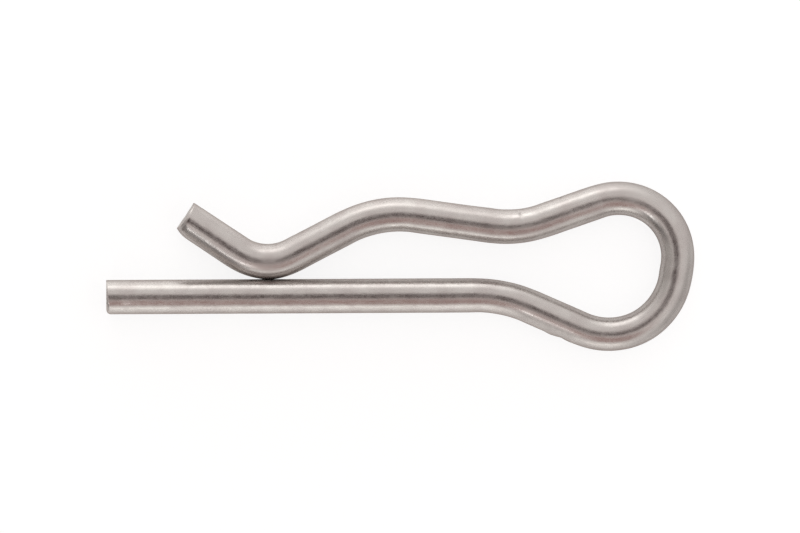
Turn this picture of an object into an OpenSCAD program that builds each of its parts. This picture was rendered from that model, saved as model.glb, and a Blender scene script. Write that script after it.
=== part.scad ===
// Hitch R clip, also called a hair pin cotter: one length of round spring wire, bent in one plane.
// The straight leg goes through the hole of a pin, and the sprung leg grips round the pin's outside.
// The clip lies flat: X runs along the leg from its cut end to the loop, Y from the leg to the sprung leg.
// Angles of straights are measured from the leg, and radii of bends are those of the wire's centreline.

/* [Wire] */
// Diameter of the wire
wire_d = 4; // [2:0.1:5.5]

/* [Straight leg] */
// Length of the leg, from its cut end to the start of the neck bend
leg_length = 42.7; // [34:0.1:60]
// Radius of the neck bend, which leads down into the loop
neck_r = 15.8; // [8:0.1:24]
// Slope of the neck below the leg, degrees
neck_angle = 23.7; // [16:0.1:30]
// Length of the straight between the neck bend and the loop
neck_length = 6.5; // [3:0.1:10]

/* [Loop] */
// Radius of the loop's lower bend
loop_lower_r = 7.9; // [6:0.05:12]
// Radius of the loop's upper bend
loop_upper_r = 6.85; // [5.5:0.05:8.5]
// Slope of the short straight between the loop's two bends, degrees
loop_flank_angle = 80.5; // [65:0.5:100]
// Length of that straight
loop_flank_length = 1.3; // [0.5:0.1:4]

/* [Sprung leg] */
// Slope of the shoulder, which comes down from the loop to the waist, degrees
shoulder_angle = 19.2; // [12:0.1:25]
// Radius of the bend at the waist
waist_r = 12.75; // [8:0.05:20]
// Clear gap between the waist and the leg
waist_gap = 3.95; // [2.5:0.05:5]
// Slope of the rise from the waist to the crest, degrees
rise_angle = 7.9; // [4:0.1:14]
// Length of the straight between the waist and the crest
rise_length = 9; // [5:0.1:16]
// Radius of the crest, which grips round the pin
crest_r = 13.5; // [8:0.1:18]
// Slope of the drop from the crest to the trough, degrees
drop_angle = 27.2; // [16:0.1:36]
// Radius of the trough, where the sprung leg closes on the straight leg
trough_r = 6.2; // [4:0.1:10]
// Clear gap between the trough and the leg
nip_gap = 0.05; // [0.02:0.01:1]
// Slope of the tip, which leads the pin in, degrees
tip_angle = 33.8; // [20:0.1:50]
// Length of the straight tip, from the trough bend to its cut end
tip_length = 7.4; // [4:0.1:14]

/* [Cut ends] */
// Radius of the edge that the shear rolled over at the leg's end
leg_roll_r = 0.55; // [0.2:0.05:0.9]
// Radius of the edge that the shear rolled over at the tip
tip_roll_r = 1; // [0.2:0.05:1.5]

/* [Hidden] */
$fn = 64;

wire_r = wire_d / 2;

// How much the wire's radius draws down in a bend, and how far the bend reaches into its straights
bend_thinning = 0.03;
bend_reach = 0.1;
bend_wire_r = wire_r - bend_thinning;
// How far below the wire's surface the rolled edge of a cut end would touch down
roll_dip = 0.03;

// Height that two equal and opposite bends take up, with no straight between them
function step_height(r1, r2, angle) = (r1 + r2) * (1 - cos(angle));

// Heights of the wire's centreline above the leg's, round the loop and along the sprung leg
loop_bottom = -step_height(neck_r, loop_lower_r, neck_angle) - neck_length * sin(neck_angle);
loop_top = loop_bottom
    + loop_lower_r * (1 - cos(loop_flank_angle))
    + loop_flank_length * sin(loop_flank_angle)
    + loop_upper_r * (1 + cos(loop_flank_angle));
waist_height = wire_r + waist_gap + bend_wire_r;
crest_height = waist_height + step_height(waist_r, crest_r, rise_angle) + rise_length * sin(rise_angle);
trough_height = wire_r + nip_gap + bend_wire_r;

// Straights that close the form: each is as long as its change of height needs
shoulder_length =
    (loop_top - waist_height - step_height(loop_upper_r, waist_r, shoulder_angle)) / sin(shoulder_angle);
drop_length =
    (crest_height - trough_height - step_height(crest_r, trough_r, drop_angle)) / sin(drop_angle);

// The wire from end to end: each straight, then the radius and turn of the bend after it, left positive
RUNS = [
    [leg_length, neck_r, -neck_angle],
    [neck_length, loop_lower_r, neck_angle + loop_flank_angle],
    [loop_flank_length, loop_upper_r, 180 - loop_flank_angle + shoulder_angle],
    [shoulder_length, waist_r, -shoulder_angle - rise_angle],
    [rise_length, crest_r, rise_angle + drop_angle],
    [drop_length, trough_r, -drop_angle - tip_angle],
    [tip_length]
];

// Outline of the whole clip, measured from the leg's cut end and centreline
loop_lower_x = leg_length + (neck_r + loop_lower_r) * sin(neck_angle) + neck_length * cos(neck_angle);
loop_upper_x = loop_lower_x
    + (loop_lower_r - loop_upper_r) * sin(loop_flank_angle)
    + loop_flank_length * cos(loop_flank_angle);
clip_length = max(loop_lower_x + loop_lower_r, loop_upper_x + loop_upper_r) + bend_wire_r;
clip_middle_y = (loop_bottom + loop_top) / 2;

// Side of a block that reaches past any bend, and the length by which wire runs on past a cut
block = 2 * clip_length;
overrun = wire_d;

// Straight wire along X
module straight(length) {
    rotate([0, 90, 0])
        cylinder(h = length, r = wire_r);
}

// Straight wire whose start is sheared off: square at the top, rolled over at the bottom
module sheared_straight(length, roll_r) {
    roll_y = roll_r - roll_dip - wire_r;
    intersection() {
        translate([-overrun, 0, 0])
            straight(length + overrun);
        linear_extrude(height = block, center = true) {
            translate([0, roll_y])
                square(block);
            translate([roll_r, -block / 2])
                square(block);
            translate([roll_r, roll_y])
                circle(roll_r);
        }
    }
}

// Moves its children from the start of a bend to its end
module past_bend(r, turn) {
    side = sign(turn);
    translate([0, side * r, 0])
        rotate(turn)
            translate([0, -side * r, 0])
                children();
}

// Bend that starts along X: a ring, kept from just before its start plane to just past its end plane
module bend(r, turn) {
    intersection() {
        translate([0, sign(turn) * r, 0])
            rotate(180)
                rotate_extrude()
                    translate([r, 0])
                        circle(bend_wire_r);
        translate([-bend_reach, -block / 2, -block / 2])
            cube(block);
        past_bend(r, turn)
            translate([bend_reach - block, -block / 2, -block / 2])
                cube(block);
    }
}

// Wire from run i to the tip, each run in the frame of the bend before it
module wire_from(i) {
    length = RUNS[i][0];
    r = RUNS[i][1];
    turn = RUNS[i][2];
    if (i == 0)
        sheared_straight(length, leg_roll_r);
    else if (i == len(RUNS) - 1)
        translate([length, 0, 0])
            rotate(180)
                sheared_straight(length, tip_roll_r);
    else
        straight(length);
    if (i < len(RUNS) - 1)
        translate([length, 0, 0]) {
            bend(r, turn);
            past_bend(r, turn)
                wire_from(i + 1);
        }
}

module clip_wire() {
    color([0.72, 0.7, 0.68])
        translate([-clip_length / 2, -clip_middle_y, wire_r])
            wire_from(0);
}

clip_wire();
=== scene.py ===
import math

import bpy
import numpy as np
from mathutils import Matrix, Vector, noise


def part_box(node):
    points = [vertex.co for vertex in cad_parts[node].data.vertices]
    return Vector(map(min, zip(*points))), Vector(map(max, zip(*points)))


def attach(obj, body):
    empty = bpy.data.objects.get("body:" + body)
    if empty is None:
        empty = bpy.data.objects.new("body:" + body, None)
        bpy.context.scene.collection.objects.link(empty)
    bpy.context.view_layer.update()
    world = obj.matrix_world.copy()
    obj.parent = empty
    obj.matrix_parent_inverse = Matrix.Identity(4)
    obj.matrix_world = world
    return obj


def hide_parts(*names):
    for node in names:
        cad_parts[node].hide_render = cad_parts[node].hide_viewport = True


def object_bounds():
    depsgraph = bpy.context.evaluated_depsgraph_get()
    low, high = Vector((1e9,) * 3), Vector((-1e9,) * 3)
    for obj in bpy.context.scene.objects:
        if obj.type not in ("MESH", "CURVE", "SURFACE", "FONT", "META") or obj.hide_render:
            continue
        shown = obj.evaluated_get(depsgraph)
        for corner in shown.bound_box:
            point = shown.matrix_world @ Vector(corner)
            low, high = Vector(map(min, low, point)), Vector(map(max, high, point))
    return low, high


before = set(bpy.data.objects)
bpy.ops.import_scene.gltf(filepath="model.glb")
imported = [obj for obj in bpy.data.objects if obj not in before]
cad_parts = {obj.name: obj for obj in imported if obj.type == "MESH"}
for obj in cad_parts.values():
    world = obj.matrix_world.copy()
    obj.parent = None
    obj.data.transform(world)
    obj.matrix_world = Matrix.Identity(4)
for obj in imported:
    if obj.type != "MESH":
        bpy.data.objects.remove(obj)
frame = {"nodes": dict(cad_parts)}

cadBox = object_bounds()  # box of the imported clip, before anything is dressed
mm = 0.001
scene = bpy.context.scene
scene.view_settings.view_transform = "Standard"
print("frame loaded:", ", ".join(frame["nodes"]))


# Wire of the clip, in millimetres and degrees. A place is a stretch of the wire and the share of it passed.
# A side is counted round the wire from its left, as it runs from the leg to the tip: 90 is up
clipWire = {
    "form": {  # the clip's own sizes, with radii at the wire's centreline
        "legLength": 42.7,
        "neckRadius": 15.8,
        "neckAngle": 23.7,
        "neckLength": 6.5,
        "loopLowerRadius": 7.9,
        "loopUpperRadius": 6.85,
        "flankAngle": 80.5,
        "flankLength": 1.3,
        "shoulderAngle": 19.2,
        "waistRadius": 12.75,
        "waistGap": 3.95,
        "riseAngle": 7.9,
        "riseLength": 9.0,
        "crestRadius": 13.5,
        "dropAngle": 27.2,
        "troughRadius": 6.2,
        "nipGap": 0.05,
        "tipAngle": 33.8,
        "tipLength": 7.53,
        "bendThinning": 0.03,
        "bendSoftness": 0.4,  # how gently a straight eases into its bend
    },
    "skin": {  # how finely the skin is cut, and how far drawing left it from a true round
        "pathStep": 0.02,
        "rowStep": 0.122,
        "sides": 80,
        "waveDepth": 0.007,
        "waveLength": 2.6,
        "rippleDepth": 0.0028,
        "rippleLength": 0.7,
        "rippleShift": 7.1,  # so that the ripples don't repeat the waves
        "sunk": 0.6,  # share of their depths by which both lie below the round
    },
    "legEnd": {  # the blade rolled one side of a cut end over and left the other square
        "rolledSide": 180,
        "rollLength": 0.5,
        "rollDepth": 0.48,
        "rollTurn": 90,  # how far over the roll goes before the face begins
        "rollFocus": 2.2,  # how closely the roll keeps to its side
        "edgeLength": 0.14,
        "edgeDepth": 0.06,
        "slant": 0.5,
        "bevel": 3,  # more slant, on the upper half only
        "droopLength": 1.4,
        "droopDepth": 0.02,
        "zone": 2.6,  # length of wire that the rows of the end take up
    },
    "tipEnd": {
        "rolledSide": 8,
        "rollLength": 1.6,
        "rollDepth": 0.36,
        "rollTurn": 40,
        "rollFocus": 3.8,
        "edgeLength": 0.15,
        "edgeDepth": 0.11,
        "slant": 0.4,
        "bevel": 10,
        "droopLength": 0.9,
        "droopDepth": 0.02,
        "zone": 2.6,
    },
    "shear": {  # what both ends share
        "blendRows": 16,
        "blendEase": 1.3,  # above 1, the rows close up toward the roll
        "rollRows": 10,
        "leastRoll": 0.03,
        "edgeRows": 5,
        "edgeLost": 0.9,  # share of its own edge that a full roll takes
        "edgeFade": 4,  # how soon a lesser roll leaves the edge alone
        "faceRings": (0.985, 0.95, 0.88, 0.78, 0.66, 0.53, 0.4, 0.27, 0.14),
        "dish": 0.02,
        "tornFrom": 0.35,  # how far the torn half reaches past the middle
        "tornDepth": 0.035,
        "gritDepth": 0.045,
        "gritFineness": 9,
        "gritLayer": 3.7,
        "rimHold": 6,  # the higher, the nearer to the rim it is torn
    },
    # where the real bends stray from the drawing: sideways to the left, and how much slimmer.
    # Below nothing, the bend spread the wire sideways and left its height
    "driftSoftness": 1.5,
    "drifts": [
        {"at": ("leg", 0.97), "aside": 0.0, "slimmer": 0.0},
        {"at": ("neckBend", 0.9), "aside": 0.045, "slimmer": 0.0},
        {"at": ("neck", 0.45), "aside": 0.03, "slimmer": 0.01},
        {"at": ("loopLower", 0.15), "aside": 0.05, "slimmer": 0.03},
        {"at": ("loopLower", 0.5), "aside": -0.07, "slimmer": 0.015},
        {"at": ("flank", 0.5), "aside": -0.03, "slimmer": 0.045},
        {"at": ("loopUpper", 0.4), "aside": -0.03, "slimmer": 0.045},
        {"at": ("loopUpper", 0.82), "aside": 0.10, "slimmer": 0.03},
        {"at": ("shoulder", 0.15), "aside": 0.03, "slimmer": 0.01},
        {"at": ("waist", 0.3), "aside": 0.0, "slimmer": 0.0},
        {"at": ("waist", 0.8), "aside": -0.015, "slimmer": -0.06},
        {"at": ("rise", 0.3), "aside": 0.0, "slimmer": 0.0},
        {"at": ("crest", 0.4), "aside": -0.03, "slimmer": -0.03},
        {"at": ("drop", 0.7), "aside": -0.035, "slimmer": 0.0},
        {"at": ("trough", 0.4), "aside": -0.025, "slimmer": -0.08},
        {"at": ("tip", 0.1), "aside": -0.01, "slimmer": -0.02},
        {"at": ("tip", 0.9), "aside": -0.02, "slimmer": 0.0},
    ],
    # nicks from the bending tools, with their size along the wire and round it. Below nothing, a swelling
    "nicks": [
        {"at": ("waist", 0.440), "side": 138, "length": 0.18, "round": 15, "depth": 0.070, "lean": 0.008},
        {"at": ("trough", 0.405), "side": 0, "length": 1.2, "round": 42, "depth": -0.075},
        {"at": ("leg", 0.042), "side": 90, "length": 0.9, "round": 60, "depth": 0.06},
        {"at": ("shoulder", 0.60), "side": 172, "length": 0.16, "round": 12, "depth": 0.060},
        {"at": ("neck", 0.53), "side": 178, "length": 0.55, "round": 24, "depth": -0.075},
        {"at": ("neck", 0.745), "side": 178, "length": 0.42, "round": 24, "depth": 0.080},
    ],
    # flats pressed by the bending pins, with half their length and their tilt along the wire
    "flats": [
        {"at": ("waist", 0.30), "side": 129, "half": 0.72, "depth": 0.020, "tilt": 0.6},
        {"at": ("waist", 0.55), "side": 126, "half": 0.60, "depth": 0.014, "tilt": 0.0},
        {"at": ("loopUpper", 0.50), "side": 30, "half": 1.1, "depth": 0.012, "tilt": 0.0},
        {"at": ("leg", 0.4485), "side": 0, "half": 0.7, "depth": 0.012, "tilt": 0.0},
    ],
    "press": {  # what the flats share
        "reach": 45,  # no flat goes farther round the wire to either side
        "ease": 1.6,  # above 1, a flat keeps its depth on the middle of its length
        "skim": 0.002,  # height over the round at which a flat begins
    },
    # dark reddish spots: painted shade where the trough meets the leg and on the leg beside it, at the start
    # of the tip's roll and in the tool nicks, a painted dark reflection where the tip's dark line begins,
    # and a darker streak on the upper loop
    "stainsAndPaintedShade": [
        {"at": ("tip", 0.903), "side": 86, "length": 0.15, "round": 10, "amount": 1.0},
        {"at": ("tip", 0.905), "side": 48, "length": 0.18, "round": 9, "amount": 0.9},
        {"at": ("trough", 0.41), "side": 0, "length": 1.0, "round": 30, "amount": 0.9},
        {"at": ("leg", 0.4455), "side": 0, "length": 0.9, "round": 11, "amount": 0.5},
        {"at": ("leg", 0.441), "side": 33, "length": 0.7, "round": 7, "amount": 0.25},
        {"at": ("waist", 0.440), "side": 138, "length": 0.15, "round": 12, "amount": 0.25},
        {"at": ("shoulder", 0.60), "side": 165, "length": 0.07, "round": 14, "amount": 0.5},
        {"at": ("loopUpper", 0.40), "side": 47, "length": 1.1, "round": 7, "amount": 0.3},
    ],
    # places that the bending tools rubbed dull. Below nothing, they were rubbed bright
    "rubs": [
        {"at": ("trough", 0.42), "side": 85, "length": 1.6, "round": 40, "amount": 0.9},
        {"at": ("loopUpper", 0.78), "side": 150, "length": 2.5, "round": 65, "amount": 0.6},
        {"at": ("waist", 0.35), "side": 130, "length": 2.0, "round": 60, "amount": 0.35},
        {"at": ("waist", 0.30), "side": 130, "length": 0.60, "round": 11, "amount": -1.1},
        {"at": ("tip", 0.962), "side": 122, "length": 0.20, "round": 20, "amount": -1.1},
        {"at": ("waist", 0.55), "side": 127, "length": 0.50, "round": 6, "amount": -1.1},
    ],
}


def stepHeight(radiusA, radiusB, angle):
    # height that two equal and opposite bends take up
    return (radiusA + radiusB) * (1 - math.cos(math.radians(angle)))


def wireStretches(wireRadius):
    # each stretch of the wire from the leg's end to the tip: name, length, turn in degrees, left positive
    form = clipWire["form"]

    def climb(length, angle):
        return length * math.sin(math.radians(angle))

    def bend(name, radius, turn):
        return name, radius * abs(math.radians(turn)), turn

    # heights of the centreline over the leg's, round the loop and along the sprung leg
    bendRadius = wireRadius - form["bendThinning"]
    flankCos = math.cos(math.radians(form["flankAngle"]))
    neckDrop = stepHeight(form["neckRadius"], form["loopLowerRadius"], form["neckAngle"])
    loopBottom = -neckDrop - climb(form["neckLength"], form["neckAngle"])
    loopTop = (
        loopBottom
        + form["loopLowerRadius"] * (1 - flankCos)
        + climb(form["flankLength"], form["flankAngle"])
        + form["loopUpperRadius"] * (1 + flankCos)
    )
    waistHeight = wireRadius + form["waistGap"] + bendRadius
    riseHeight = stepHeight(form["waistRadius"], form["crestRadius"], form["riseAngle"])
    crestHeight = waistHeight + riseHeight + climb(form["riseLength"], form["riseAngle"])
    troughHeight = wireRadius + form["nipGap"] + bendRadius

    # the two straights that close the form are as long as their change of height needs
    shoulderBends = stepHeight(form["loopUpperRadius"], form["waistRadius"], form["shoulderAngle"])
    shoulderFall = loopTop - waistHeight - shoulderBends
    dropBends = stepHeight(form["crestRadius"], form["troughRadius"], form["dropAngle"])
    dropFall = crestHeight - troughHeight - dropBends

    stretches = [
        ("leg", form["legLength"], 0),
        bend("neckBend", form["neckRadius"], -form["neckAngle"]),
        ("neck", form["neckLength"], 0),
        bend("loopLower", form["loopLowerRadius"], form["neckAngle"] + form["flankAngle"]),
        ("flank", form["flankLength"], 0),
        bend("loopUpper", form["loopUpperRadius"], 180 - form["flankAngle"] + form["shoulderAngle"]),
        ("shoulder", shoulderFall / climb(1, form["shoulderAngle"]), 0),
        bend("waist", form["waistRadius"], -form["shoulderAngle"] - form["riseAngle"]),
        ("rise", form["riseLength"], 0),
        bend("crest", form["crestRadius"], form["riseAngle"] + form["dropAngle"]),
        ("drop", dropFall / climb(1, form["dropAngle"]), 0),
        bend("trough", form["troughRadius"], -form["dropAngle"] - form["tipAngle"]),
        ("tip", form["tipLength"], 0),
    ]
    return stretches, loopBottom


def softened(values, width, step):
    # runs a bell-shaped average along the values, and carries the ends on straight
    bellWidths = 4  # past these the bell is as good as nothing
    reach = int(bellWidths * width / step)
    bell = np.exp(-0.5 * (np.arange(-reach, reach + 1) * step / width) ** 2)
    before = values[0] + (values[1] - values[0]) * np.arange(-reach, 0)
    after = values[-1] + (values[-1] - values[-2]) * np.arange(1, reach + 1)
    return np.convolve(np.concatenate([before, values, after]), bell / bell.sum(), "valid")


def placeOn(wire, at):
    stretch, share = at
    start, length = wire["starts"][stretch]
    return start + share * length


def onWire(wire, key, places):
    return np.interp(places, wire["along"], wire[key])


def layWire(wireRadius):
    # centreline of the wire from the leg's cut end, its left side and how much thinner it is, step by step
    form = clipWire["form"]
    stretches, loopBottom = wireStretches(wireRadius)
    names, lengths, turns = zip(*stretches)
    turns = np.radians(turns)
    marks = np.concatenate([[0], np.cumsum(lengths)])
    headings = np.concatenate([[0], np.cumsum(turns)])
    total = marks[-1]
    count = int(total / clipWire["skin"]["pathStep"])
    along = np.linspace(0, total, count + 1)
    step = total / count
    wire = {
        "along": along,
        "total": total,
        "loopBottom": loopBottom,
        "starts": dict(zip(names, zip(marks, lengths))),
    }
    driftPlaces = [placeOn(wire, drift["at"]) for drift in clipWire["drifts"]]

    def driftAlong(key):
        amounts = [drift[key] for drift in clipWire["drifts"]]
        return softened(np.interp(along, driftPlaces, amounts), clipWire["driftSoftness"], step)

    heading = np.interp((along[1:] + along[:-1]) / 2, marks, headings)
    soft = form["bendSoftness"]
    x = softened(np.concatenate([[0], np.cumsum(np.cos(heading) * step)]), soft, step)
    y = softened(np.concatenate([[0], np.cumsum(np.sin(heading) * step)]), soft, step)
    tangentX = np.gradient(x, along)
    tangentY = np.gradient(y, along)
    size = np.hypot(tangentX, tangentY)
    aside = driftAlong("aside") * np.clip(along / form["legLength"], 0, 1)
    wire["leftX"] = -tangentY / size
    wire["leftY"] = tangentX / size
    wire["x"] = x + wire["leftX"] * aside
    wire["y"] = y + wire["leftY"] * aside

    stretch = np.clip(np.searchsorted(marks, along, "right") - 1, 0, len(turns) - 1)
    bent = np.where(turns[stretch] != 0, 1.0, 0.0)
    thinning = form["bendThinning"] * np.clip(softened(bent, soft, step), 0, 1)
    wire["thinner"] = thinning + driftAlong("slimmer")
    return wire


def endRows(end, wireRadius, angles):
    # rows from the body to the middle of a cut face: distance from the end, radius, and if on the face
    shear = clipWire["shear"]
    toRolled = np.cos(angles - math.radians(end["rolledSide"]))
    share = np.clip(0.5 + 0.5 * toRolled, 0, 1) ** end["rollFocus"]
    turn = math.radians(end["rollTurn"])
    rollLength = shear["leastRoll"] + end["rollLength"] * share
    rollDepth = end["rollDepth"] * share
    edge = 1 - shear["edgeLost"] * share * math.sin(turn) ** shear["edgeFade"]
    edgeLength = end["edgeLength"] * edge
    edgeDepth = end["edgeDepth"] * edge
    rim = wireRadius - rollDepth - edgeDepth
    slope = math.tan(math.radians(end["slant"]))
    bevel = math.tan(math.radians(end["bevel"]))
    up = np.sin(angles)
    rows = []

    def addRow(distance, radius, onFace=False, slanted=1.0):
        back = slope * (wireRadius + radius * up) + bevel * np.maximum(radius * up, 0)
        rows.append((distance + slanted * back, radius, onFace))

    full = np.full_like(angles, wireRadius)
    for k in range(1, shear["blendRows"]):
        part = 1 - (1 - k / shear["blendRows"]) ** shear["blendEase"]
        addRow(end["zone"] + (rollLength + edgeLength - end["zone"]) * part, full, slanted=part)
    for k in range(shear["rollRows"] + 1):
        over = turn * k / shear["rollRows"]
        fall = (1 - math.cos(over)) / (1 - math.cos(turn))
        reach = math.sin(over) / math.sin(turn)
        addRow(edgeLength + rollLength * (1 - reach), wireRadius - rollDepth * fall)
    for k in range(1, shear["edgeRows"] + 1):
        over = math.radians(90) * k / shear["edgeRows"]
        addRow(edgeLength * (1 - math.sin(over)), rim + edgeDepth * math.cos(over))
    for part in shear["faceRings"]:
        # the blade burnished the rolled half, and the rest tore away and is rougher
        torn = np.clip(shear["tornFrom"] - part * toRolled, 0, 1)
        grit = faceGrit(part * shear["gritFineness"], shear["gritLayer"], angles)
        rough = shear["tornDepth"] + shear["gritDepth"] * grit
        inside = 1 - part ** shear["rimHold"]
        addRow(shear["dish"] * (1 - part) + torn * rough * inside, rim * part, onFace=True)
    return rows


def faceGrit(radius, layer, angles):
    ring = [Vector((radius * math.cos(angle), radius * math.sin(angle), layer)) for angle in angles]
    return np.array([noise.noise(point) for point in ring])


def wireGrid(wire, wireRadius):
    # rows of the skin from the leg's face to the tip's: place along the wire and radius, side by side
    skin = clipWire["skin"]
    legEnd = clipWire["legEnd"]
    tipEnd = clipWire["tipEnd"]
    angles = np.linspace(0, 2 * math.pi, skin["sides"], endpoint=False)
    full = np.full_like(angles, wireRadius)
    first = legEnd["zone"]
    last = wire["total"] - tipEnd["zone"]
    rows = endRows(legEnd, wireRadius, angles)[::-1]
    for place in np.linspace(first, last, int((last - first) / skin["rowStep"])):
        rows.append((np.full_like(angles, place), full, False))
    for distance, radius, onFace in endRows(tipEnd, wireRadius, angles):
        rows.append((wire["total"] - distance, radius, onFace))
    places, radii, onFace = (np.array(column) for column in zip(*rows))
    return angles, places, radii, onFace


def turnFrom(side, angles):
    # how far each angle lies round the wire from a side, in radians to the one way or the other
    return (angles - math.radians(side) + math.pi) % (2 * math.pi) - math.pi


def softSpot(wire, spot, angles, places):
    # 1 in the middle of a spot on the skin, fading along the wire and round it
    turn = np.degrees(turnFrom(spot["side"], angles))
    offset = places - placeOn(wire, spot["at"]) - spot.get("lean", 0) * turn
    return np.exp(-((offset / spot["length"]) ** 2) - (turn / spot["round"]) ** 2)


def spotted(wire, spots, angles, places):
    strength = sum(spot["amount"] * softSpot(wire, spot, angles, places) for spot in spots)
    return np.minimum(strength, 1.0)


def flatLimit(wire, flat, wireRadius, angles, places):
    # radius down to which a flat is pressed, and no limit beside it
    press = clipWire["press"]
    turn = turnFrom(flat["side"], angles)
    offset = places - placeOn(wire, flat["at"])
    ease = np.clip(press["ease"] * (1 - (offset / flat["half"]) ** 2), 0, 1)
    tilt = math.tan(math.radians(flat["tilt"]))
    level = wireRadius - flat["depth"] * ease + press["skim"] + offset * tilt * ease
    hit = (np.abs(offset) < flat["half"]) & (np.abs(turn) < math.radians(press["reach"]))
    return np.where(hit, level / np.cos(turn), np.inf)


def drawnWaves(wireRadius, angles, places, body):
    # long waves and fine ripples from the drawing die, which only sink into the round
    skin = clipWire["skin"]
    shift = Vector((skin["rippleShift"], 0, 0))
    sunk = np.zeros_like(places)
    for row in np.flatnonzero(body):
        for j, angle in enumerate(angles):
            point = Vector((places[row, j], wireRadius * math.cos(angle), wireRadius * math.sin(angle)))
            wave = noise.noise(point / skin["waveLength"]) - skin["sunk"]
            ripple = noise.noise(point / skin["rippleLength"] + shift) - skin["sunk"]
            sunk[row, j] = skin["waveDepth"] * wave + skin["rippleDepth"] * ripple
    return np.minimum(sunk, 0.0)


def worked(wire, wireRadius, angles, places, radii, onFace):
    # what bending, cutting and drawing did to the round: thinner bends, droop, nicks, flats and waves
    depth = onWire(wire, "thinner", places)
    depth = np.where(depth < 0, depth * np.cos(angles) ** 2, depth)
    up = np.clip(np.sin(angles), 0, 1)
    for key, distance in (("legEnd", places), ("tipEnd", wire["total"] - places)):
        fall = np.clip(1 - distance / clipWire[key]["droopLength"], 0, 1) ** 2
        depth = depth + clipWire[key]["droopDepth"] * fall * up ** 2
    for nick in clipWire["nicks"]:
        depth = depth + nick["depth"] * softSpot(wire, nick, angles, places)
    result = radii - depth
    for flat in clipWire["flats"]:
        result = np.minimum(result, flatLimit(wire, flat, wireRadius, angles, places))
    result = result + drawnWaves(wireRadius, angles, places, ~onFace)
    return np.where(onFace[:, None], radii, result)


def skinFaces(onFace, sides):
    # faces between the rows and fans to the middles of the cut faces, with the finish of each
    rows = len(onFace)
    faces = []
    finish = []
    legMiddle = rows * sides
    tipMiddle = legMiddle + 1
    lastRow = legMiddle - sides
    neighbours = [(j, (j + 1) % sides) for j in range(sides)]
    for row in range(rows - 1):
        here = row * sides
        ahead = here + sides
        faces += [(here + j, here + k, ahead + k, ahead + j) for j, k in neighbours]
        finish += [int(onFace[row] or onFace[row + 1])] * sides
    for j, k in neighbours:
        faces += [(legMiddle, k, j), (lastRow + j, lastRow + k, tipMiddle)]
        finish += [1, 1]
    return faces, finish


def closedEnds(grid):
    # the points row by row, then the middles of the leg's face and the tip's
    return np.concatenate([grid.reshape(-1, 3), [grid[0].mean(0), grid[-1].mean(0)]])


def addMarks(mesh, name, kind, field, values):
    marks = mesh.attributes.new(name, kind, "POINT")
    marks.data.foreach_set(field, values.ravel())


def makeClip():
    low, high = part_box("clip_wire")
    wireRadius = (high.z - low.z) / mm / 2
    wire = layWire(wireRadius)
    angles, places, radii, onFace = wireGrid(wire, wireRadius)
    radii = worked(wire, wireRadius, angles, places, radii, onFace)
    side = radii * np.cos(angles)
    up = radii * np.sin(angles)

    # the leg's cut end stands at the box's low X, and the loop's lowest wire at its low Y
    originX = low.x / mm
    originY = low.y / mm + wireRadius - clipWire["form"]["bendThinning"] - wire["loopBottom"]
    grid = np.stack([
        originX + onWire(wire, "x", places) + onWire(wire, "leftX", places) * side,
        originY + onWire(wire, "y", places) + onWire(wire, "leftY", places) * side,
        wireRadius + up + low.z / mm,
    ], axis=-1)
    grain = np.stack([places, side, up], axis=-1)
    faces, finish = skinFaces(onFace, len(angles))

    mesh = bpy.data.meshes.new("clipWireSkin")
    mesh.from_pydata((closedEnds(grid) * mm).tolist(), [], faces)
    mesh.polygons.foreach_set("material_index", finish)
    mesh.polygons.foreach_set("use_smooth", [True] * len(faces))
    addMarks(mesh, "drawnCoord", "FLOAT_VECTOR", "vector", closedEnds(grain))
    # marks for the dull rubs, and for the dark spots of painted shade and painted dark reflection
    for name, key in (("rubbedDull", "rubs"), ("stainAndShadeAmount", "stainsAndPaintedShade")):
        strength = spotted(wire, clipWire[key], angles, places)
        addMarks(mesh, name, "FLOAT", "value", np.append(strength, [0.0, 0.0]))  # none in the two middles
    mesh.update()
    clip = bpy.data.objects.new("clipWireSkin", mesh)
    scene.collection.objects.link(clip)
    rows, sides = places.shape
    print("wire skin:", rows, "rows of", sides, "sides,", round(wire["total"], 2), "mm of wire")
    return clip


def addNode(tree, kind, inputs=None, **settings):
    # a node with its settings, and its inputs linked to sockets or set to values
    node = tree.nodes.new(kind)
    for key, value in settings.items():
        setattr(node, key, value)
    for key, value in (inputs or {}).items():
        if isinstance(value, bpy.types.NodeSocket):
            tree.links.new(value, node.inputs[key])
        else:
            node.inputs[key].default_value = value
    return node


def mathNode(tree, operation, *values):
    return addNode(tree, "ShaderNodeMath", dict(enumerate(values)), operation=operation).outputs[0]


def vectorNode(tree, operation, *values):
    return addNode(tree, "ShaderNodeVectorMath", dict(enumerate(values)), operation=operation).outputs


def rangeNode(tree, value, start, end, low=0.0, high=1.0, kind="LINEAR"):
    inputs = {"Value": value, "From Min": start, "From Max": end, "To Min": low, "To Max": high}
    return addNode(tree, "ShaderNodeMapRange", inputs, interpolation_type=kind).outputs["Result"]


def mixColor(tree, factor, colorA, colorB):
    # the node's sockets for colours share their names with those for numbers, so they go by number
    inputs = {0: factor, 6: colorA, 7: colorB}
    return addNode(tree, "ShaderNodeMix", inputs, data_type="RGBA").outputs[2]


def mixShader(tree, factor, shaderA, shaderB):
    return addNode(tree, "ShaderNodeMixShader", {0: factor, 1: shaderA, 2: shaderB}).outputs[0]


def attributeNode(tree, name):
    return addNode(tree, "ShaderNodeAttribute", attribute_name=name).outputs


def emptyTree(owner):
    # node tree of a material or a world, with nothing in it yet
    owner.use_nodes = True
    owner.node_tree.nodes.clear()
    return owner.node_tree


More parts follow.
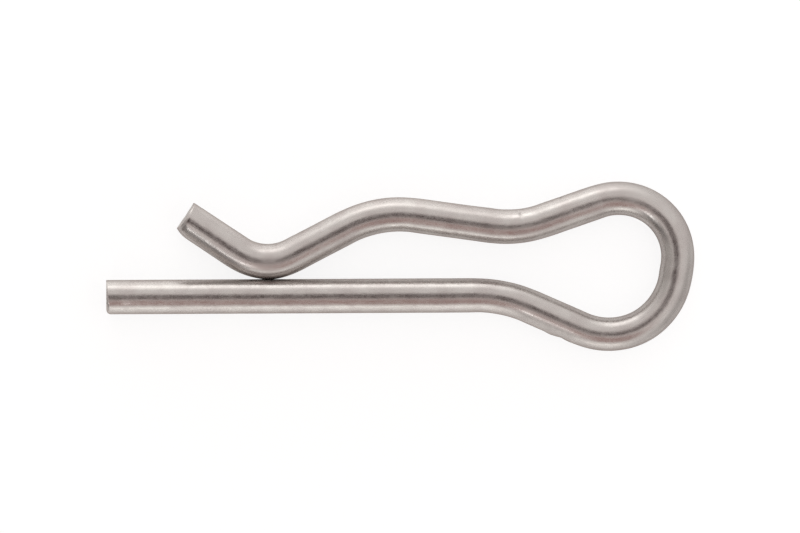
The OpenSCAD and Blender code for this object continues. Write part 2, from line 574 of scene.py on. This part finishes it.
# Grain of drawn wire: how far each kind is drawn out along the wire, how fine it is unless set, how rough
drawnGrain = {
    "Lines": {"dial": "Line Fineness", "fineness": 9.0, "drawnOut": 0.045, "detail": 3.0, "roughness": 0.6},
    "Pits": {"dial": "Pit Fineness", "fineness": 6.0, "drawnOut": 0.55, "detail": 3.0, "roughness": 0.6},
    "Patches": {"dial": "Patch Fineness", "fineness": 0.5, "drawnOut": 1.0, "detail": 3.0, "roughness": 0.5},
}


def drawnGrainGroup():
    # lines along the wire from the drawing die, fine pits, and broad cloudy patches
    tree = bpy.data.node_groups.new("drawnGrain", "ShaderNodeTree")
    face = tree.interface
    face.new_socket("Wire Place", in_out="INPUT", socket_type="NodeSocketVector")
    for name, kind in drawnGrain.items():
        dial = face.new_socket(kind["dial"], in_out="INPUT", socket_type="NodeSocketFloat")
        dial.default_value = kind["fineness"]
        face.new_socket(name, in_out="OUTPUT", socket_type="NodeSocketFloat")
    source = tree.nodes.new("NodeGroupInput").outputs
    grains = {}
    for name, kind in drawnGrain.items():
        place = vectorNode(tree, "MULTIPLY", source["Wire Place"], (kind["drawnOut"], 1, 1))["Vector"]
        grains[name] = addNode(tree, "ShaderNodeTexNoise", {
            "Vector": place,
            "Scale": source[kind["dial"]],
            "Detail": kind["detail"],
            "Roughness": kind["roughness"],
        }, noise_dimensions="3D").outputs[0]
    addNode(tree, "NodeGroupOutput", grains)
    return tree


def placeGrain(tree, grain, fineness):
    place = attributeNode(tree, "drawnCoord")["Vector"]
    return addNode(tree, "ShaderNodeGroup", {"Wire Place": place, **fineness}, node_tree=grain).outputs


# Bright drawn wire: colours, gloss and relief
drawnWire = {
    "fineness": {"Line Fineness": 9.0, "Pit Fineness": 2.8, "Patch Fineness": 0.45},
    "color": (0.56, 0.52, 0.50, 1),
    "paler": (0.63, 0.60, 0.575, 1),
    "palerRange": (0.35, 0.65),  # patches from which and to which the colour goes over
    "edge": (0.55, 0.505, 0.48, 1),  # duller where it is seen edge on
    # reddish black of the dark spots: painted shade where wire meets wire and in hollows, and a painted dark
    # reflection
    "stainAndShadeColor": (0.062, 0.034, 0.027, 1),
    "stainAndShadeRange": (0.35, 0.6),  # pits that take the least and the most of a dark spot
    "stainAndShadeShare": (0.7, 1.0),
    "metallic": 0.86,  # the rest is the dull bloom of the drawn skin
    "wornRange": (0.35, 0.65),
    "roughness": (0.20, 0.35),
    "rubbedRoughness": 0.16,
    "lineDepth": 0.0000022,
    "pitDepth": 0.0000090,
}


def drawnWireMaterial(grain):
    material = bpy.data.materials.new("drawnWire")
    tree = emptyTree(material)
    look = placeGrain(tree, grain, drawnWire["fineness"])
    patchy = rangeNode(tree, look["Patches"], *drawnWire["palerRange"])
    clean = mixColor(tree, patchy, drawnWire["color"], drawnWire["paler"])
    # the dark spots of painted shade and painted dark reflection, broken up by the pits
    blotchy = rangeNode(tree, look["Pits"], *drawnWire["stainAndShadeRange"], *drawnWire["stainAndShadeShare"])
    stainAndShadeAmount = mathNode(tree, "MULTIPLY", attributeNode(tree, "stainAndShadeAmount")["Fac"], blotchy)
    worn = mathNode(tree, "MULTIPLY", mathNode(tree, "ADD", look["Lines"], look["Pits"]), 0.5)
    gloss = rangeNode(tree, worn, *drawnWire["wornRange"], *drawnWire["roughness"])
    rubbed = attributeNode(tree, "rubbedDull")["Fac"]
    duller = mathNode(tree, "MULTIPLY_ADD", rubbed, drawnWire["rubbedRoughness"], gloss)
    lineShare = drawnWire["lineDepth"] / drawnWire["pitDepth"]
    relief = mathNode(tree, "MULTIPLY_ADD", look["Lines"], lineShare, look["Pits"])
    bump = addNode(tree, "ShaderNodeBump", {
        "Height": relief,
        "Strength": 1.0,
        "Distance": drawnWire["pitDepth"],
    })
    shader = addNode(tree, "ShaderNodeBsdfPrincipled", {
        "Base Color": mixColor(tree, stainAndShadeAmount, clean, drawnWire["stainAndShadeColor"]),
        "Metallic": drawnWire["metallic"],
        "Roughness": duller,
        "Specular Tint": drawnWire["edge"],
        "Normal": bump.outputs[0],
    })
    addNode(tree, "ShaderNodeOutputMaterial", {"Surface": shader.outputs[0]})
    return material


# Sheared faces: burnished where the blade went in, grey and grainy where the wire tore
shearedFace = {
    "fineness": {"Line Fineness": 6.0, "Pit Fineness": 7.0, "Patch Fineness": 1.2},
    "burnished": (0.57, 0.535, 0.505, 1),
    "torn": (0.41, 0.38, 0.36, 1),
    "tornRange": (0.8, 1.2),  # pits and patches together, where it begins to be torn and where it is
    "metallic": 1.0,
    "roughness": (0.28, 0.5),
    "relief": 0.000006,
}


def shearedFaceMaterial(grain):
    material = bpy.data.materials.new("shearedFace")
    tree = emptyTree(material)
    look = placeGrain(tree, grain, shearedFace["fineness"])
    uneven = mathNode(tree, "ADD", look["Pits"], look["Patches"])
    torn = rangeNode(tree, uneven, *shearedFace["tornRange"])
    bump = addNode(tree, "ShaderNodeBump", {
        "Height": look["Pits"],
        "Strength": 1.0,
        "Distance": shearedFace["relief"],
    })
    shader = addNode(tree, "ShaderNodeBsdfPrincipled", {
        "Base Color": mixColor(tree, torn, shearedFace["burnished"], shearedFace["torn"]),
        "Metallic": shearedFace["metallic"],
        "Roughness": rangeNode(tree, torn, 0, 1, *shearedFace["roughness"]),
        "Normal": bump.outputs[0],
    })
    addNode(tree, "ShaderNodeOutputMaterial", {"Surface": shader.outputs[0]})
    return material


clip = makeClip()
grain = drawnGrainGroup()
clip.data.materials.append(drawnWireMaterial(grain))
clip.data.materials.append(shearedFaceMaterial(grain))
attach(clip, "root")
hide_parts("clip_wire")
print("clip finished in", ", ".join(material.name for material in clip.data.materials))


def toward(azimuth, polar):
    # unit vector to a place in the light tent: azimuth from +X to +Y, polar down from overhead
    around = math.radians(azimuth)
    down = math.radians(polar)
    return Vector((math.sin(down) * math.cos(around), math.sin(down) * math.sin(around), math.cos(down)))


# Light tent: a soft pale dome, with duller or warmer cloth on some sides. Each patch lies over those before
# it, is all there within its inner angle and has faded out at its outer one
lightTent = {
    "cloth": (0.84, 0.81, 0.80, 1),
    "patches": [
        {"azimuth": 188, "polar": 62, "inner": 18, "outer": 48, "color": (0.455, 0.43, 0.415, 1)},
        {"azimuth": 98, "polar": 82, "inner": 14, "outer": 36, "color": (1.42, 1.40, 1.38, 1)},
        {"azimuth": 270, "polar": 84, "inner": 10, "outer": 24, "color": (1.00, 0.98, 0.945, 1)},
        {"azimuth": 223, "polar": 70, "inner": 10, "outer": 29, "color": (0.19, 0.18, 0.175, 1)},
        {"azimuth": 335, "polar": 94, "inner": 16, "outer": 46, "color": (0.50, 0.485, 0.475, 1)},
        {"azimuth": 230, "polar": 10, "inner": 10, "outer": 42, "color": (0.86, 0.80, 0.785, 1)},
        {"azimuth": 274, "polar": 42, "inner": 11, "outer": 25, "color": (0.385, 0.245, 0.225, 1)},
    ],
}


def makeTent():
    world = bpy.data.worlds.new("lightTent")
    scene.world = world
    tree = emptyTree(world)
    direction = tree.nodes.new("ShaderNodeTexCoord").outputs["Generated"]
    color = lightTent["cloth"]
    for patch in lightTent["patches"]:
        middle = toward(patch["azimuth"], patch["polar"])
        nearness = vectorNode(tree, "DOT_PRODUCT", direction, middle)["Value"]
        edge, heart = (math.cos(math.radians(patch[key])) for key in ("outer", "inner"))
        mask = rangeNode(tree, nearness, edge, heart, kind="SMOOTHSTEP")
        color = mixColor(tree, mask, color, patch["color"])
    background = addNode(tree, "ShaderNodeBackground", {"Color": color, "Strength": 1.0})
    addNode(tree, "ShaderNodeOutputWorld", {"Surface": background.outputs[0]})


def makeSquare(name, half, middle):
    # flat square with a material of its own, and the empty tree of that material
    corners = [(-half, -half, 0), (half, -half, 0), (half, half, 0), (-half, half, 0)]
    mesh = bpy.data.meshes.new(name)
    mesh.from_pydata(corners, [], [(0, 1, 2, 3)])
    mesh.materials.append(bpy.data.materials.new(name))
    square = bpy.data.objects.new(name, mesh)
    square.location = middle
    scene.collection.objects.link(square)
    return square, emptyTree(mesh.materials[0])


# Dark opening in the tent's roof: it hangs near, so it shifts from one end of the clip to the other
tentOpening = {
    "height": 0.28,
    "middle": (-0.023, -0.0135),
    "inner": 0.044,  # all dark within this radius
    "outer": 0.113,  # and gone at this one
    "longer": 1.32,  # along the clip
    "color": (0.036, 0.015, 0.014, 1),
}


def makeOpening():
    middle = (*tentOpening["middle"], tentOpening["height"])
    opening, tree = makeSquare("tentOpening", tentOpening["outer"], middle)
    opening.scale.x = tentOpening["longer"]
    opening.visible_camera = False
    place = tree.nodes.new("ShaderNodeTexCoord").outputs["Object"]
    squared = vectorNode(tree, "DOT_PRODUCT", place, place)["Value"]
    mask = rangeNode(tree, squared, tentOpening["outer"] ** 2, tentOpening["inner"] ** 2, kind="SMOOTHSTEP")
    clear = tree.nodes.new("ShaderNodeBsdfTransparent").outputs[0]
    dark = addNode(tree, "ShaderNodeEmission", {"Color": tentOpening["color"], "Strength": 1.0}).outputs[0]
    addNode(tree, "ShaderNodeOutputMaterial", {"Surface": mixShader(tree, mask, clear, dark)})


# Strip lights: two soft boxes along the clip's long sides, and a narrow slit between tent panels
stripLights = {
    "distance": 0.7,
    "strips": {
        "backStrip": {"azimuth": 98, "polar": 71, "lean": 0, "width": 0.36, "height": 0.24, "glow": 0.58},
        "frontStrip": {"azimuth": 269, "polar": 80, "lean": 0, "width": 0.32, "height": 0.20, "glow": 0.51},
        "panelSlit": {"azimuth": 240.5, "polar": 51, "lean": 38, "width": 0.24, "height": 0.04, "glow": 5.7},
    },
}


def makeStrips():
    for name, strip in stripLights["strips"].items():
        lamp = bpy.data.lights.new(name, "AREA")
        lamp.shape = "RECTANGLE"
        lamp.size = strip["width"]
        lamp.size_y = strip["height"]
        lamp.energy = strip["glow"] * math.pi * strip["width"] * strip["height"]
        out = toward(strip["azimuth"], strip["polar"])
        lean = Matrix.Rotation(math.radians(strip["lean"]), 3, "Z")
        holder = bpy.data.objects.new(name, lamp)
        holder.location = out * stripLights["distance"]
        holder.rotation_euler = (out.to_track_quat("Z", "Y").to_matrix() @ lean).to_euler()
        holder.visible_camera = False
        scene.collection.objects.link(holder)


# Floor: pale satin board, part lit and part glowing, so that it is white and keeps the clip's shadow
paleFloor = {
    "side": 4.0,
    "clearance": 0.00002,  # under the clip
    "seen": {"lit": 0.27, "glow": 0.98},
    "mirrored": {"lit": 0.84, "glow": 0.45},  # as white in the metal, with a fuller shadow
    "shadeBesideLoop": {"axis": "X", "from": 0.006, "to": 0.042, "level": 0.74},  # painted shade: the mirrored board falls off
    "shadeInFront": {"axis": "Y", "from": 0.014, "to": 0.002, "level": 0.90},
    "gloss": 2.2,  # index of refraction
    "roughness": 0.2,
    "bounce": 0.8,  # what it gives back to all other rays
}


def grey(level):
    return (level, level, level, 1)


def makeFloor():
    bottom = cadBox[0][2] - paleFloor["clearance"]
    floor, tree = makeSquare("paleFloor", paleFloor["side"] / 2, (0, 0, bottom))
    sheen = addNode(tree, "ShaderNodeFresnel", {"IOR": paleFloor["gloss"]}).outputs[0]

    def board(lit, glow):
        return addNode(tree, "ShaderNodeBsdfPrincipled", {
            "Base Color": lit,
            "Roughness": paleFloor["roughness"],
            "IOR": paleFloor["gloss"],
            "Emission Color": mixColor(tree, sheen, glow, grey(0)),
            "Emission Strength": 1.0,
        }).outputs[0]

    # painted shade on the board as the metal mirrors it: darker beside the loop and in front
    place = tree.nodes.new("ShaderNodeTexCoord").outputs["Object"]
    spot = addNode(tree, "ShaderNodeSeparateXYZ", {"Vector": place}).outputs
    falls = []
    for key in ("shadeBesideLoop", "shadeInFront"):
        fall = paleFloor[key]
        ends = (fall["from"], fall["to"], 1.0, fall["level"])
        falls.append(rangeNode(tree, spot[fall["axis"]], *ends, kind="SMOOTHSTEP"))
    paintedShadeFall = mathNode(tree, "MULTIPLY", *falls)

    seen = paleFloor["seen"]
    mirrored = paleFloor["mirrored"]
    faded = [mixColor(tree, paintedShadeFall, grey(0), grey(mirrored[key])) for key in ("lit", "glow")]
    path = tree.nodes.new("ShaderNodeLightPath").outputs
    inMetal = mathNode(tree, "MAXIMUM", path["Is Glossy Ray"], path["Is Transmission Ray"])
    surface = addNode(tree, "ShaderNodeBsdfDiffuse", {"Color": grey(paleFloor["bounce"])}).outputs[0]
    surface = mixShader(tree, path["Is Camera Ray"], surface, board(grey(seen["lit"]), grey(seen["glow"])))
    surface = mixShader(tree, inMetal, surface, board(*faded))
    addNode(tree, "ShaderNodeOutputMaterial", {"Surface": surface})


makeTent()
makeOpening()
makeStrips()
makeFloor()
print("tent, opening, strips and floor set")


# Camera: straight down through a long lens, framed as the photograph is
straightDown = {
    "imageWidth": 800,
    "pixelsPerMm": 8.625,
    "offCentre": (0.3, 0.6),  # pixels that the clip lies right of and below the picture's middle
    "lens": 200.0,
    "sensor": 36.0,
    "roll": -0.289,
}


def makeCamera():
    pixel = mm / straightDown["pixelsPerMm"]
    right, below = straightDown["offCentre"]
    height = straightDown["imageWidth"] * pixel * straightDown["lens"] / straightDown["sensor"]
    middle = (Vector(cadBox[0]) + Vector(cadBox[1])) / 2
    data = bpy.data.cameras.new("straightDown")
    data.lens = straightDown["lens"]
    data.sensor_width = straightDown["sensor"]
    data.sensor_fit = "HORIZONTAL"
    camera = bpy.data.objects.new("straightDown", data)
    camera.location = middle + Vector((-right * pixel, below * pixel, height))
    camera.rotation_euler = (0, 0, math.radians(straightDown["roll"]))
    scene.collection.objects.link(camera)
    scene.camera = camera
    print("camera looks straight down from", round(height, 3), "m")


makeCamera()
